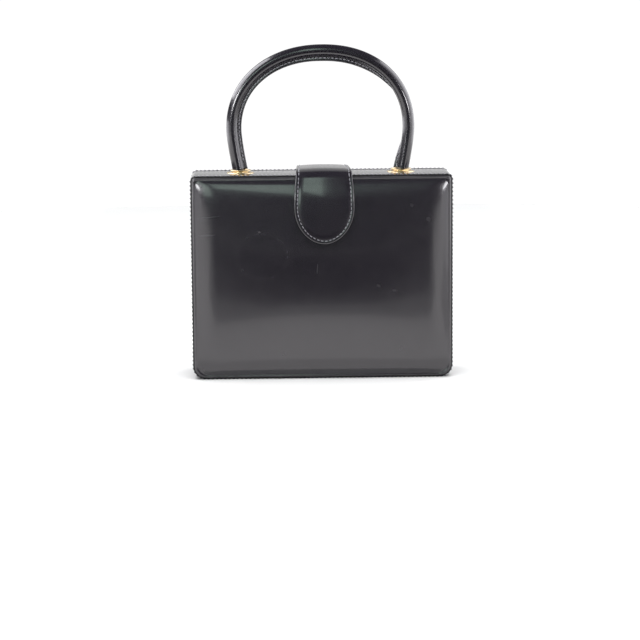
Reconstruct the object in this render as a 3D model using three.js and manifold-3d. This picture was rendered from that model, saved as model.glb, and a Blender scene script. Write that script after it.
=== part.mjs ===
// A rigid box bag in black box calf, in millimetres.
// X runs along the width, -Y is the front, +Z is up, and the origin is at the middle of the base.
import * as THREE from 'three';
import { mergeVertices } from 'three/addons/utils/BufferGeometryUtils.js';
import Module from 'manifold-3d';

const wasm = await Module();
wasm.setup();

// Body
const bodyWidth = 240.6;
const bodyHeight = 188.6;
const topCornerRadius = 5;
const baseCornerRadius = 12;
const leastCornerRadius = 2;
const gussetDepth = 54;
const gussetWall = 3;
const gussetInset = 0.4;
const rimThickness = 3;
const rimBand = 9.5;
const rimEdgeRound = 0.6;
const seamGap = 0.3;

// Domed panels
const panelMargin = 1.8;
const panelCornerSpread = 0.4;
const shoulderWidth = 18;
const shoulderRise = 4.6;
const crownRise = 5;

// Closure tab and the snap behind it
const tabThickness = 3;
const tabNeckWidth = 51.6;
const tabBackWidth = 47;
const tabEndWidth = 54.8;
const tabEndLength = 33;
const tabDrop = 62.3;
const tabBackDrop = 37;
const tabBackCornerRadius = 8;
const tabStandoff = 1.7;
const tabRise = 2;
const tabBendDrop = 6.5;
const tabArchPower = 3.4;
const tabShift = 2.4;
const snapRadius = 6;

// Handle
const handleSpan = 174;
const handleRise = 117.4;
const handleLegHeight = 40.4;
const handleLegInset = 6.2;
const handleLegCurve = 1.4;
const handleArchPower = 2.15;
const handleRadius = 5.5;
const finDepth = 3.4;
const finThickness = 3;

// Ferrules and their base plates
const ferruleWall = 2;
const ferruleHeight = 2.2;
const ferrulePocketDepth = 1;
const basePlateRadius = 12.8;
const basePlateThickness = 0.4;
const fitGap = 0.3;

// Fineness of the curved meshes
const arcSteps = 6;
const panelLongSteps = 10;
const panelShortSteps = 8;
const panelCornerSteps = 4;
const handleSteps = 64;
const handleSides = 14;
const turnedSides = 32;

// Section of a panel's edge from its outline inwards. Insets are shares of shoulderWidth, and
// outer heights shares of shoulderRise: the turned edge bead, the groove, then the shoulder.
const shoulderTable = [
  { inset: 0.000, outer: 0.150 },
  { inset: 0.022, outer: 0.260 },
  { inset: 0.050, outer: 0.315 },
  { inset: 0.083, outer: 0.285 },
  { inset: 0.117, outer: 0.228 },
  { inset: 0.167, outer: 0.283 },
  { inset: 0.250, outer: 0.435 },
  { inset: 0.390, outer: 0.640 },
  { inset: 0.610, outer: 0.837 },
  { inset: 1.000, outer: 1.000 },
];

// Rings of the crown, as shares of the shoulder ring's size.
const crownRings = [0.84, 0.66, 0.46, 0.26, 0.1];

// Section of a ferrule's outside from its foot to its lip. Radii are shares of the lip's radius,
// and heights shares of ferruleHeight.
const ferruleTable = [
  { radius: 0.73, height: 0.00 },
  { radius: 0.73, height: 0.22 },
  { radius: 0.84, height: 0.40 },
  { radius: 0.96, height: 0.60 },
  { radius: 1.00, height: 0.80 },
  { radius: 0.96, height: 1.00 },
];

// Sizes that follow from the ones above
const rimBack = gussetDepth / 2 + seamGap;
const rimFront = rimBack + rimThickness;
const panelBase = rimFront + seamGap;
const panelHalfWidth = bodyWidth / 2 - panelMargin;
const panelHalfHeight = bodyHeight / 2 - panelMargin;
const gussetTop = bodyHeight - gussetInset;
const tabClearTop = tabRise + 2 * tabThickness;
const legTop = bodyHeight + handleLegHeight;
const handleHalfSpan = handleSpan / 2 - handleRadius;
const ferruleBase = gussetTop + fitGap + basePlateThickness + fitGap;
const legEnd = ferruleBase + ferruleHeight - ferrulePocketDepth + fitGap;
const legLean = legX(ferruleBase + ferruleHeight) - legX(legEnd);
const ferruleX = legX(legEnd) + legLean / 2 - finDepth / 2;
const pocketRadius = handleRadius + finDepth / 2 + legLean / 2 + 2 * fitGap;

const leather = { color: 0x151417, roughness: 0.22, metalness: 0 };
const gilt = { color: 0xd9b66a, roughness: 0.2, metalness: 1 };

const bag = new THREE.Group();

function addPart(name, geometry, finish) {
  const mesh = new THREE.Mesh(geometry, new THREE.MeshStandardMaterial(finish));
  mesh.name = name;
  bag.add(mesh);
  return mesh;
}

function toSolid(geometry) {
  const bare = geometry.clone();
  bare.deleteAttribute('normal');
  bare.deleteAttribute('uv');
  const merged = mergeVertices(bare, 1e-4);
  return new wasm.Manifold(new wasm.Mesh({
    numProp: 3,
    vertProperties: new Float32Array(merged.attributes.position.array),
    triVerts: new Uint32Array(merged.index.array),
  }));
}

function toGeometry(solid) {
  const mesh = solid.getMesh();
  const geometry = new THREE.BufferGeometry();
  geometry.setAttribute('position', new THREE.BufferAttribute(new Float32Array(mesh.vertProperties), 3));
  geometry.setIndex(new THREE.BufferAttribute(new Uint32Array(mesh.triVerts), 1));
  geometry.computeVertexNormals();
  return geometry;
}

// The body's outline set in by a distance, tight at the top corners and round at the base.
function bodyOutline(inset) {
  const top = Math.max(topCornerRadius - inset, leastCornerRadius);
  const base = Math.max(baseCornerRadius - inset, leastCornerRadius);
  const x = bodyWidth / 2 - inset;
  const z = bodyHeight / 2 - inset;
  const shape = new THREE.Shape();
  shape.absarc(x - top, z - top, top, 0, Math.PI / 2, false);
  shape.absarc(top - x, z - top, top, Math.PI / 2, Math.PI, false);
  shape.absarc(base - x, base - z, base, Math.PI, 1.5 * Math.PI, false);
  shape.absarc(x - base, base - z, base, 1.5 * Math.PI, 2 * Math.PI, false);
  shape.closePath();
  return shape;
}

// A frame of the body's outline, set in by one distance outside and another inside.
function bodyFrame(outerInset, innerInset, depth, edgeRound) {
  const shape = bodyOutline(outerInset);
  shape.holes.push(bodyOutline(innerInset));
  const geometry = new THREE.ExtrudeGeometry(shape, {
    depth: depth - 2 * edgeRound,
    curveSegments: arcSteps,
    bevelEnabled: edgeRound > 0,
    bevelThickness: edgeRound,
    bevelSize: edgeRound,
    bevelOffset: -edgeRound,
    bevelSegments: 2,
  });
  geometry.translate(0, 0, edgeRound);
  geometry.rotateX(Math.PI / 2);
  geometry.translate(0, 0, bodyHeight / 2);
  return geometry;
}

function makeGusset() {
  const wall = bodyFrame(gussetInset, gussetInset + gussetWall, gussetDepth, 0);
  addPart('gusset', wall, leather).position.y = gussetDepth / 2;
}

function makeRims() {
  for (const side of [{ name: 'front_rim', front: -rimBack }, { name: 'back_rim', front: rimFront }]) {
    const rim = bodyFrame(0, rimBand, rimThickness, rimEdgeRound);
    addPart(side.name, rim, leather).position.y = side.front;
  }
}

// Height of a panel's outer face over its foot, at a place in from its outline.
function shoulderHeight(inset) {
  const share = Math.min(inset / shoulderWidth, 1);
  const next = shoulderTable.findIndex((row) => row.inset >= share);
  if (next === 0) {
    return shoulderTable[0].outer * shoulderRise;
  }
  const low = shoulderTable[next - 1];
  const high = shoulderTable[next];
  const part = (share - low.inset) / (high.inset - low.inset);
  return THREE.MathUtils.lerp(low.outer, high.outer, part) * shoulderRise;
}

function crownHeight(x, z) {
  const across = 1 - (x / panelHalfWidth) ** 2;
  const along = 1 - (z / panelHalfHeight) ** 2;
  return crownRise * across * along;
}

// One ring of a panel in the XZ plane, set in from the outline, its corners growing rounder inwards.
function panelRing(inset, scale = 1) {
  const growth = panelCornerSpread * inset - panelMargin;
  const top = topCornerRadius + growth;
  const base = baseCornerRadius + growth;
  const x = panelHalfWidth - inset;
  const z = panelHalfHeight - inset;
  const corners = [
    { x: x - top, z: z - top, radius: top },
    { x: top - x, z: z - top, radius: top },
    { x: base - x, z: base - z, radius: base },
    { x: x - base, z: base - z, radius: base },
  ];
  const cornerPoint = (corner, angle) => new THREE.Vector2(
    corner.x + corner.radius * Math.cos(angle), corner.z + corner.radius * Math.sin(angle));
  const sideSteps = [panelLongSteps, panelShortSteps, panelLongSteps, panelShortSteps];
  const ring = [];
  corners.forEach((corner, quarter) => {
    for (let step = 0; step <= panelCornerSteps; step += 1) {
      ring.push(cornerPoint(corner, (quarter + step / panelCornerSteps) * Math.PI / 2));
    }
    const from = ring[ring.length - 1];
    const to = cornerPoint(corners[(quarter + 1) % corners.length], (quarter + 1) * Math.PI / 2);
    for (let step = 1; step < sideSteps[quarter]; step += 1) {
      ring.push(from.clone().lerp(to, step / sideSteps[quarter]));
    }
  });
  return ring.map((point) => point.multiplyScalar(scale));
}

// A closed skin over a list of rings of equal length, with a fan on the first and the last.
function loftRings(rings) {
  const count = rings[0].length;
  const points = rings.flat();
  const triangles = [];
  for (let ring = 0; ring < rings.length - 1; ring += 1) {
    for (let side = 0; side < count; side += 1) {
      const a = ring * count + side;
      const b = ring * count + (side + 1) % count;
      triangles.push(a, b, a + count, b, b + count, a + count);
    }
  }
  for (const end of [0, rings.length - 1]) {
    const middle = rings[end].reduce((sum, point) => sum.add(point), new THREE.Vector3());
    points.push(middle.divideScalar(count));
    for (let side = 0; side < count; side += 1) {
      const a = end * count + side;
      const b = end * count + (side + 1) % count;
      triangles.push(...(end === 0 ? [b, a, points.length - 1] : [a, b, points.length - 1]));
    }
  }
  const geometry = new THREE.BufferGeometry().setFromPoints(points);
  geometry.setIndex(triangles);
  geometry.computeVertexNormals();
  return geometry;
}

// A panel is a padded board: flat inside, and domed outside from its turned edge to its crown.
function panelGeometry() {
  const raise = (ring, height) => ring.map((p) => new THREE.Vector3(p.x, -height(p), p.y));
  const faceOf = (inset) => (p) => shoulderHeight(inset) + crownHeight(p.x, p.y);
  return loftRings([
    raise(panelRing(0), () => 0),
    ...shoulderTable.map((row) => row.inset * shoulderWidth)
      .map((inset) => raise(panelRing(inset), faceOf(inset))),
    ...crownRings.map((scale) => raise(panelRing(shoulderWidth, scale), faceOf(shoulderWidth))),
  ]);
}

function makePanels() {
  const front = addPart('front_panel', panelGeometry(), leather);
  front.position.set(0, -panelBase, bodyHeight / 2);
  const back = addPart('back_panel', panelGeometry(), leather);
  back.position.set(0, panelBase, bodyHeight / 2);
  back.rotation.z = Math.PI;
}

// Distance of a panel's face from the body's middle plane, on the centre line at height z.
function panelFaceAt(z) {
  const fromMiddle = z - bodyHeight / 2;
  const inset = panelHalfHeight - Math.abs(fromMiddle);
  return panelBase + shoulderHeight(inset) + crownHeight(0, fromMiddle);
}

// Underside of one half of the tab from the top's middle to its end, as (distance out, height).
function tabUnderside(drop) {
  const bendEnd = bodyHeight + tabRise - tabBendDrop;
  const standing = panelFaceAt(bendEnd) + tabStandoff;
  const archSteps = 2 * arcSteps;
  const path = [];
  for (let step = 0; step <= archSteps; step += 1) {
    const angle = step / archSteps * Math.PI / 2;
    path.push(new THREE.Vector2(
      standing * Math.sin(angle) ** (2 / tabArchPower),
      bendEnd + tabBendDrop * Math.cos(angle) ** (2 / tabArchPower)));
  }
  const end = bodyHeight - drop;
  for (let step = 1; step <= arcSteps; step += 1) {
    const z = THREE.MathUtils.lerp(bendEnd, end, step / arcSteps);
    path.push(new THREE.Vector2(Math.max(standing, panelFaceAt(z) + tabStandoff), z));
  }
  return path;
}

// The same path moved out by a distance along its normals.
function movedOut(path, distance) {
  return path.map((point, index) => {
    const before = path[Math.max(index - 1, 0)];
    const after = path[Math.min(index + 1, path.length - 1)];
    const along = after.clone().sub(before).normalize();
    return new THREE.Vector2(point.x - along.y * distance, point.y + along.x * distance);
  });
}

// The whole strap as a band of even width, from its front end over the top to its back end.
function tabBand() {
  const front = tabUnderside(tabDrop).map((p) => new THREE.Vector2(-p.x, p.y)).reverse();
  const inner = [...front, ...tabUnderside(tabBackDrop).slice(1)];
  const outer = movedOut(inner, tabThickness).reverse();
  const band = new THREE.ExtrudeGeometry(new THREE.Shape([...inner, ...outer]), {
    depth: 2 * tabEndWidth,
    bevelEnabled: false,
  });
  band.rotateX(Math.PI / 2);
  band.rotateZ(Math.PI / 2);
  band.translate(-tabEndWidth, 0, 0);
  return toSolid(band);
}

// A prism along Y from an outline below the top edge, which trims one half of the strap.
function tabTrim(shape, side) {
  const depth = bodyWidth;
  const prism = new THREE.ExtrudeGeometry(shape, { depth, curveSegments: 2 * arcSteps, bevelEnabled: false });
  prism.rotateX(Math.PI / 2);
  prism.translate(0, side > 0 ? depth - tabThickness : tabThickness, bodyHeight);
  return toSolid(prism);
}

function tabFrontOutline() {
  const neck = tabNeckWidth / 2;
  const end = tabEndWidth / 2;
  const endTop = tabEndLength - tabDrop;
  const shape = new THREE.Shape();
  shape.moveTo(neck, tabClearTop);
  shape.lineTo(neck, 0);
  shape.quadraticCurveTo(end, endTop / 2, end, endTop);
  shape.absellipse(0, endTop, end, tabEndLength, 0, -Math.PI, true);
  shape.quadraticCurveTo(-end, endTop / 2, -neck, 0);
  shape.lineTo(-neck, tabClearTop);
  shape.closePath();
  return shape;
}

function tabBackOutline() {
  const side = tabBackWidth / 2;
  const corner = side - tabBackCornerRadius;
  const low = tabBackCornerRadius - tabBackDrop;
  const shape = new THREE.Shape();
  shape.moveTo(tabNeckWidth / 2, tabClearTop);
  shape.lineTo(tabNeckWidth / 2, -tabThickness);
  shape.lineTo(side, low);
  shape.absarc(corner, low, tabBackCornerRadius, 0, -Math.PI / 2, true);
  shape.absarc(-corner, low, tabBackCornerRadius, -Math.PI / 2, -Math.PI, true);
  shape.lineTo(-tabNeckWidth / 2, -tabThickness);
  shape.lineTo(-tabNeckWidth / 2, tabClearTop);
  shape.closePath();
  return shape;
}

// Seen from above, the strap narrows over the top towards the back.
function tabPlan() {
  const frontEdge = rimFront + shoulderRise;
  const outline = [
    [tabEndWidth / 2, -bodyWidth / 2], [tabEndWidth / 2, -frontEdge - tabThickness],
    [tabNeckWidth / 2, -frontEdge], [tabBackWidth / 2, frontEdge], [tabBackWidth / 2, bodyWidth / 2],
  ];
  const mirrored = outline.map(([x, y]) => [-x, y]).reverse();
  const prism = new THREE.ExtrudeGeometry(
    new THREE.Shape([...outline, ...mirrored].map(([x, y]) => new THREE.Vector2(x, y))),
    { depth: 2 * bodyHeight, bevelEnabled: false });
  return toSolid(prism);
}

function makeTab() {
  const trim = tabTrim(tabFrontOutline(), -1).add(tabTrim(tabBackOutline(), 1)).intersect(tabPlan());
  addPart('closure_tab', toGeometry(tabBand().intersect(trim)), leather).position.x = tabShift;
}

// The snap lies between the panel and the tab, square to the panel's slope.
function makeSnap() {
  const z = bodyHeight - tabDrop + tabEndLength;
  const slope = (panelFaceAt(z + snapRadius) - panelFaceAt(z - snapRadius)) / (2 * snapRadius);
  const thickness = tabStandoff - 2 * fitGap;
  const disc = new THREE.CylinderGeometry(snapRadius, snapRadius, thickness, turnedSides);
  const snap = addPart('tab_snap', disc, gilt);
  snap.position.set(tabShift, -(panelFaceAt(z) + tabStandoff / 2), z);
  snap.rotation.x = Math.atan(slope);
}

// Distance of a leg's centre line from the middle, at height z below the arch.
function legX(z) {
  return handleHalfSpan - handleLegInset * ((legTop - z) / handleLegHeight) ** handleLegCurve;
}

// Centre line of the handle, from the left ferrule over the arch to the right one.
class HandleLine extends THREE.Curve {
  getPoint(t, target = new THREE.Vector3()) {
    const archHeight = handleRise - handleRadius - handleLegHeight;
    const archLength = Math.PI * (handleHalfSpan + archHeight) / 2;
    const legShare = handleLegHeight / (2 * handleLegHeight + archLength);
    const side = t < 0.5 ? -1 : 1;
    const fromEnd = Math.min(t, 1 - t);
    if (fromEnd < legShare) {
      const z = bodyHeight + handleLegHeight * fromEnd / legShare;
      return target.set(side * legX(z), 0, z);
    }
    const angle = (fromEnd - legShare) / (0.5 - legShare) * Math.PI / 2;
    const x = handleHalfSpan * Math.cos(angle) ** (2 / handleArchPower);
    const z = legTop + archHeight * Math.sin(angle) ** (2 / handleArchPower);
    return target.set(side * x, 0, z);
  }
}

// Section of the handle: a round roll with its stitched seam fin on the inner side of the arch.
function handleSection() {
  const finHalf = finThickness / 2;
  const finAngle = Math.asin(finHalf / handleRadius);
  const tip = handleRadius + finDepth;
  const shape = new THREE.Shape();
  shape.moveTo(finHalf, tip);
  shape.lineTo(-finHalf, tip);
  const start = Math.PI / 2 + finAngle;
  const sweep = 2 * (Math.PI - finAngle);
  for (let side = 0; side <= handleSides; side += 1) {
    const angle = start + sweep * side / handleSides;
    shape.lineTo(handleRadius * Math.cos(angle), handleRadius * Math.sin(angle));
  }
  shape.closePath();
  return shape;
}

function makeHandle() {
  const swept = new THREE.ExtrudeGeometry(handleSection(), {
    steps: handleSteps,
    extrudePath: new HandleLine(),
    bevelEnabled: false,
  });
  const below = new THREE.BoxGeometry(bodyWidth, gussetDepth, bodyHeight);
  below.translate(0, 0, legEnd - bodyHeight / 2);
  addPart('handle', toGeometry(toSolid(swept).subtract(toSolid(below))), leather);
}

// A turned cup: narrow at the foot, flared to a rounded lip, with a pocket for the handle's end.
function ferruleGeometry() {
  const lip = pocketRadius + ferruleWall;
  const pocketFloor = ferruleHeight - ferrulePocketDepth;
  const profile = [
    new THREE.Vector2(0, 0),
    ...ferruleTable.map((row) => new THREE.Vector2(row.radius * lip, row.height * ferruleHeight)),
    new THREE.Vector2(pocketRadius, ferruleHeight),
    new THREE.Vector2(pocketRadius, pocketFloor),
    new THREE.Vector2(0, pocketFloor),
  ];
  const geometry = new THREE.LatheGeometry(profile, turnedSides);
  geometry.rotateX(Math.PI / 2);
  return geometry;
}

function makeFerrules() {
  for (const side of [{ name: 'left', x: -ferruleX }, { name: 'right', x: ferruleX }]) {
    addPart(`ferrule_${side.name}`, ferruleGeometry(), gilt).position.set(side.x, 0, ferruleBase);
    const plate = new THREE.CylinderGeometry(
      basePlateRadius, basePlateRadius, basePlateThickness, turnedSides);
    plate.rotateX(Math.PI / 2);
    addPart(`base_plate_${side.name}`, plate, gilt)
      .position.set(side.x, 0, gussetTop + fitGap + basePlateThickness / 2);
  }
}

makeGusset();
makeRims();
makePanels();
makeTab();
makeSnap();
makeHandle();
makeFerrules();

export default bag;
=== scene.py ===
"""Dresses a rigid box bag in black box calf with gilt fittings, round its construction model.

Lengths in the tables are millimetres, and Blender's are metres. -Y is the bag's front and +Z is up.
"""
import math

import bmesh
import bpy
import numpy as np
from mathutils import Matrix, Vector


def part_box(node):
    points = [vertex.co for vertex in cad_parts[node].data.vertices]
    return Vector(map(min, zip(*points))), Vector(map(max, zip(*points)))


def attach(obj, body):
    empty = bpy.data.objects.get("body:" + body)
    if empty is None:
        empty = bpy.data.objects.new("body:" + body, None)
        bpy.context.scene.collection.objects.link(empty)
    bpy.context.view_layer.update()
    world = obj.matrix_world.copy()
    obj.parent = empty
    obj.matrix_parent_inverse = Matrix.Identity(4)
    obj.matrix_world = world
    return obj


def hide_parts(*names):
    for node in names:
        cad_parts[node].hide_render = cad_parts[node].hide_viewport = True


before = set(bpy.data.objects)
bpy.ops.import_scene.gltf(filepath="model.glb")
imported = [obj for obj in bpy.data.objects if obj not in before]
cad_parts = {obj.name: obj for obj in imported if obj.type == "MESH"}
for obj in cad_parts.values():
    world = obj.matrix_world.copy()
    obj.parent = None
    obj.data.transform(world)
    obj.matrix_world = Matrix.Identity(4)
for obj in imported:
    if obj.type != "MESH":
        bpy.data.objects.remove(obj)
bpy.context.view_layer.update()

bl_info = {
    "name": "Box bag",
    "version": (1, 0, 0),
    "blender": (4, 5, 0),
    "location": "3D View > Sidebar > Box bag",
    "description": "Builds a rigid box bag in black box calf round its construction model",
    "category": "Add Mesh",
}

MM = 0.001
BODY = "root"


def node_box(node):
    """A construction node's lowest and highest corner, in millimetres."""
    low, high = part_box(node)
    return np.array(low) / MM, np.array(high) / MM


def table(columns, *rows):
    """Rows as dictionaries under their columns' names."""
    return [dict(zip(columns.split(), row)) for row in rows]


RIM_LOW, RIM_HIGH = node_box("front_rim")
PANEL_LOW, PANEL_HIGH = node_box("front_panel")
GUSSET_LOW, GUSSET_HIGH = node_box("gusset")
HANDLE_LOW, HANDLE_HIGH = node_box("handle")

BODY_WIDTH = RIM_HIGH[0] - RIM_LOW[0]
BODY_HEIGHT = RIM_HIGH[2] - RIM_LOW[2]
MIDDLE = BODY_HEIGHT / 2
PANEL_HALF_X = PANEL_HIGH[0]
PANEL_HALF_Z = (PANEL_HIGH[2] - PANEL_LOW[2]) / 2
PANEL_BASE = -PANEL_HIGH[1]
PANEL_RISE = PANEL_HIGH[1] - PANEL_LOW[1]

# The panel's edge from its outline inwards: the turned edge bead, the groove, then the shoulder.
PANEL_EDGE = table(
    "inset height",
    (0.00, 0.00), (0.00, 0.35), (0.12, 0.68), (0.50, 1.12), (0.95, 1.42),
    (1.35, 1.48), (1.80, 1.26), (2.20, 1.05), (2.70, 1.14), (3.60, 1.58),
    (5.00, 2.22), (7.20, 3.00), (10.2, 3.72), (14.0, 4.28), (18.0, 4.60))
PANEL_CROWN = PANEL_RISE - PANEL_EDGE[-1]["height"]
TOP_CORNER = 5.0
BASE_CORNER = 12.0
# The panel stands this far inside the body's outline. Inwards its corners grow rounder: at a steady
# rate, and by a soft start over the first few millimetres.
PANEL_MARGIN = 1.8
CORNER_SPREAD = 0.3
CORNER_SOFTNESS = 5.5
CORNER_REACH = 2.5

# The tab's edge from its outline inwards, measured from the middle of its thickness.
TAB_EDGE = table(
    "inset height",
    (6.00, -1.45), (0.80, -1.45), (0.22, -1.20), (0.00, -0.55), (0.00, 0.45),
    (0.18, 1.05), (0.65, 1.38), (1.30, 1.45), (2.00, 1.38), (2.55, 1.28),
    (3.05, 1.28), (3.60, 1.38), (4.60, 1.55), (6.00, 1.72))

# The ferrule from the middle of its floor outwards, up the flared wall and into the pocket, and
# the base plate from its floor over its rim. Radii and heights are shares of the whole.
FERRULE_PROFILE = table(
    "radius height",
    (0.000, 0.00), (0.700, 0.00), (0.730, 0.06), (0.735, 0.20), (0.775, 0.32), (0.860, 0.45),
    (0.945, 0.58), (0.990, 0.72), (1.000, 0.84), (0.975, 0.95), (0.920, 1.00), (0.850, 0.98),
    (0.810, 0.90), (0.800, 0.76), (0.790, 0.58), (0.000, 0.56))
PLATE_PROFILE = table(
    "radius height",
    (0.00, 0.00), (0.97, 0.00), (1.00, 0.20), (1.00, 0.45), (0.98, 0.70),
    (0.93, 0.88), (0.86, 0.98), (0.80, 1.00), (0.00, 1.00))

# Wear on the front panel: places across from its middle and up from the base, half sizes, the turn
# in degrees, and how far out a hollow ring starts.
FRONT_MARKS = table(
    "x z long wide turn hollow strength",
    (-57.4, 137.3, 1.0, 0.8, 0, 0.0, 0.30),
    (-54.9, 115.2, 24.5, 22.0, 0, 0.95, 0.05),
    (-4.6, 103.5, 0.5, 4.5, 3, 0.0, 0.10),
    (81.9, 160.6, 2.2, 1.6, 35, 0.0, 0.06),
    (97.4, 147.6, 2.4, 1.8, 50, 0.0, 0.06),
    (51.4, 87.1, 2.0, 1.4, 20, 0.0, 0.06),
    (66.1, 82.3, 2.6, 1.2, 15, 0.0, 0.05),
    (-36.6, 23.8, 1.8, 1.5, 0, 0.0, 0.07),
    (72.4, 28.1, 2.2, 2.2, 0, 0.0, 0.05),
    (-102.0, 151.2, 11.0, 0.5, -7, 0.0, 0.06),
    (-105.8, 134.6, 7.5, 0.6, -3, 0.0, 0.08),
    (-110.6, 8.8, 1.2, 1.0, 0, 0.0, 0.25))

# Each piece's calf: its roughness, and the height of the slow waves in it in millimetres.
PANEL_CALF = (0.24, 0.10)
FRAME_CALF = (0.2, 0.05)
TAB_CALF = (0.22, 0.30)
HANDLE_CALF = (0.2, 0.06)


def linear(hex_colour):
    """An sRGB colour such as #1a2b3c as linear red, green, blue and alpha."""
    channels = [int(hex_colour[place:place + 2], 16) / 255 for place in (1, 3, 5)]
    return [c / 12.92 if c <= 0.04045 else ((c + 0.055) / 1.055) ** 2.4 for c in channels] + [1.0]


def settings():
    """The sizes and colours that a user sets in the panel."""
    return bpy.context.scene.box_bag


# Property groups

def length_setting(name, description, length, low):
    """A length that a user sets, given here in millimetres."""
    return bpy.props.FloatProperty(
        name=name, description=description, default=length * MM, min=low * MM,
        unit="LENGTH", subtype="DISTANCE")


def angle_setting(name, description, degrees):
    """An angle that a user sets."""
    return bpy.props.FloatProperty(
        name=name, description=description, default=math.radians(degrees), subtype="ANGLE")


def colour_setting(name, description, hex_colour):
    """A colour that a user sets."""
    return bpy.props.FloatVectorProperty(
        name=name, description=description, size=4, subtype="COLOR",
        default=linear(hex_colour), min=0, max=1)


class BagSizes(bpy.types.PropertyGroup):
    whip_pitch: length_setting(
        "Whip stitch pitch", "Distance between the whip stitches round each rim", 3.85, 1)
    saddle_pitch: length_setting(
        "Saddle stitch pitch", "Distance between the stitches of tab and handle", 3.7, 1)
    thread_radius: length_setting(
        "Thread radius", "Radius of the waxed thread of tab and handle", 0.40, 0.1)
    whip_radius: length_setting(
        "Whip thread radius", "Radius of the thicker thread round the rims", 0.44, 0.1)
    grain_width: length_setting(
        "Grain width", "Width of one cell of the calf's boarded grain", 0.7, 0.2)


class BagColours(bpy.types.PropertyGroup):
    calf: colour_setting("Calf", "Dye colour of the box calf", "#18141d")
    scuffed_calf: colour_setting(
        "Scuffed calf", "Colour of the calf where its finish is rubbed", "#4a4749")
    # The thread's pale grey is painted sheen: the thread itself is dark, and this grey stands in
    # for the light it catches.
    thread: colour_setting("Thread", "Colour of the waxed thread", "#93929a")
    ink: colour_setting("Edge ink", "Colour of the inked edges of the rims", "#100f11")
    gilt: colour_setting("Gilt", "Colour of the gilt plating", "#dfceab")


class BagStage(bpy.types.PropertyGroup):
    camera_azimuth: angle_setting(
        "Camera azimuth", "Turn of the camera round the bag from straight ahead", -1.412)
    camera_elevation: angle_setting(
        "Camera elevation", "Height of the camera above the horizontal", 8.944)
    camera_roll: angle_setting("Camera roll", "Tilt of the camera about its own axis", 0.458)
    camera_distance: length_setting(
        "Camera distance", "Distance from the camera to its target", 2131.0, 1)
    camera_lens: bpy.props.FloatProperty(
        name="Camera lens", description="Focal length in millimetres on a 36 mm sensor",
        default=130.0, min=10)
    camera_target: bpy.props.FloatVectorProperty(
        name="Camera target", description="Point that the middle of the picture shows", size=3,
        default=(-2.45 * MM, -30.0 * MM, 54.4 * MM), unit="LENGTH", subtype="TRANSLATION")
    floor_colour: colour_setting("Floor", "Colour of the pale paper floor", "#f2f2f2")


class BoxBagSettings(bpy.types.PropertyGroup):
    sizes: bpy.props.PointerProperty(type=BagSizes)
    colours: bpy.props.PointerProperty(type=BagColours)
    stage: bpy.props.PointerProperty(type=BagStage)


# Meshes

MERGE_DISTANCE = 0.002
OUTLINE_STEPS = (60, 46, 12)
# A thread's sides, the share of its radius at its ends, and a direction that no thread follows.
THREAD_SIDES = 6
THREAD_END = 0.45
ASIDE = (0.31, 0.17, 0.93)


def unit(vectors):
    """The same vectors at length one."""
    return vectors / np.linalg.norm(vectors, axis=1)[:, None]


def distances(path):
    """The distance along a path at each of its points."""
    return np.concatenate([[0], np.cumsum(np.linalg.norm(np.diff(path, axis=0), axis=1))])


def between(places, along, values):
    """Values that are known along a line, at other places on it."""
    return np.column_stack([np.interp(places, along, value) for value in values.T])


def smoothed(path, rounds):
    """A path with its bends eased and its ends kept."""
    for _ in range(rounds):
        path[1:-1] = (path[:-2] + 2 * path[1:-1] + path[2:]) / 4
    return path


def quarter(steps):
    """Angles from nought to a right angle."""
    return np.linspace(0, math.pi / 2, steps)


def column(rows, name):
    """One column of a table."""
    return [row[name] for row in rows]


def smooth_rows(rows, steps, names=("inset", "height")):
    """A smooth curve through a table's rows, as an array of points."""
    points = np.array([[row[name] for name in names] for row in rows])
    padded = np.vstack([2 * points[0] - points[1], points, 2 * points[-1] - points[-2]])
    curve = []
    for index in range(1, len(padded) - 2):
        before, start, end, after = padded[index - 1:index + 3]
        for step in range(steps):
            t = step / steps
            curve.append(0.5 * (
                2 * start + (end - before) * t
                + (2 * before - 5 * start + 4 * end - after) * t ** 2
                + (3 * start - before - 3 * end + after) * t ** 3))
    return np.array([*curve, points[-1]])


def skin(rings, ends=True, round_about=False):
    """Faces over rings of equal length: fans close the ends, or the last ring joins the first."""
    count = len(rings[0])
    points = [np.asarray(ring, float) for ring in rings]
    faces = []
    bands = len(rings) if round_about else len(rings) - 1
    for band in range(bands):
        here, there = band * count, (band + 1) % len(rings) * count
        for side in range(count):
            after = (side + 1) % count
            faces.append((here + side, here + after, there + after, there + side))
    total = count * len(rings)
    if ends and not round_about:
        for ring, start in ((rings[0], 0), (rings[-1], total - count)):
            points.append(np.mean(ring, axis=0)[None])
            faces += [(start + side, start + (side + 1) % count, total) for side in range(count)]
            total += 1
    return np.vstack(points), faces


def new_object(name, data):
    """A new object in the scene."""
    made = bpy.data.objects.new(name, data)
    bpy.context.scene.collection.objects.link(made)
    return made


def piece(name, form, material, replaces=(), rub=None):
    """A smooth closed mesh from points in millimetres, which rides on the bag's body."""
    points, faces = form
    mesh = bpy.data.meshes.new(name)
    mesh.from_pydata((np.asarray(points) * MM).tolist(), [], faces)
    if rub is not None:
        layer = mesh.attributes.new("rub", "FLOAT", "POINT")
        layer.data.foreach_set("value", np.asarray(rub, np.float32))
    build = bmesh.new()
    build.from_mesh(mesh)
    bmesh.ops.remove_doubles(build, verts=build.verts, dist=MERGE_DISTANCE * MM)
    bmesh.ops.recalc_face_normals(build, faces=build.faces)
    build.to_mesh(mesh)
    build.free()
    mesh.shade_smooth()
    mesh.materials.append(material)
    made = new_object(name, mesh)
    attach(made, BODY)
    if replaces:
        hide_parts(*replaces)


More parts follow.
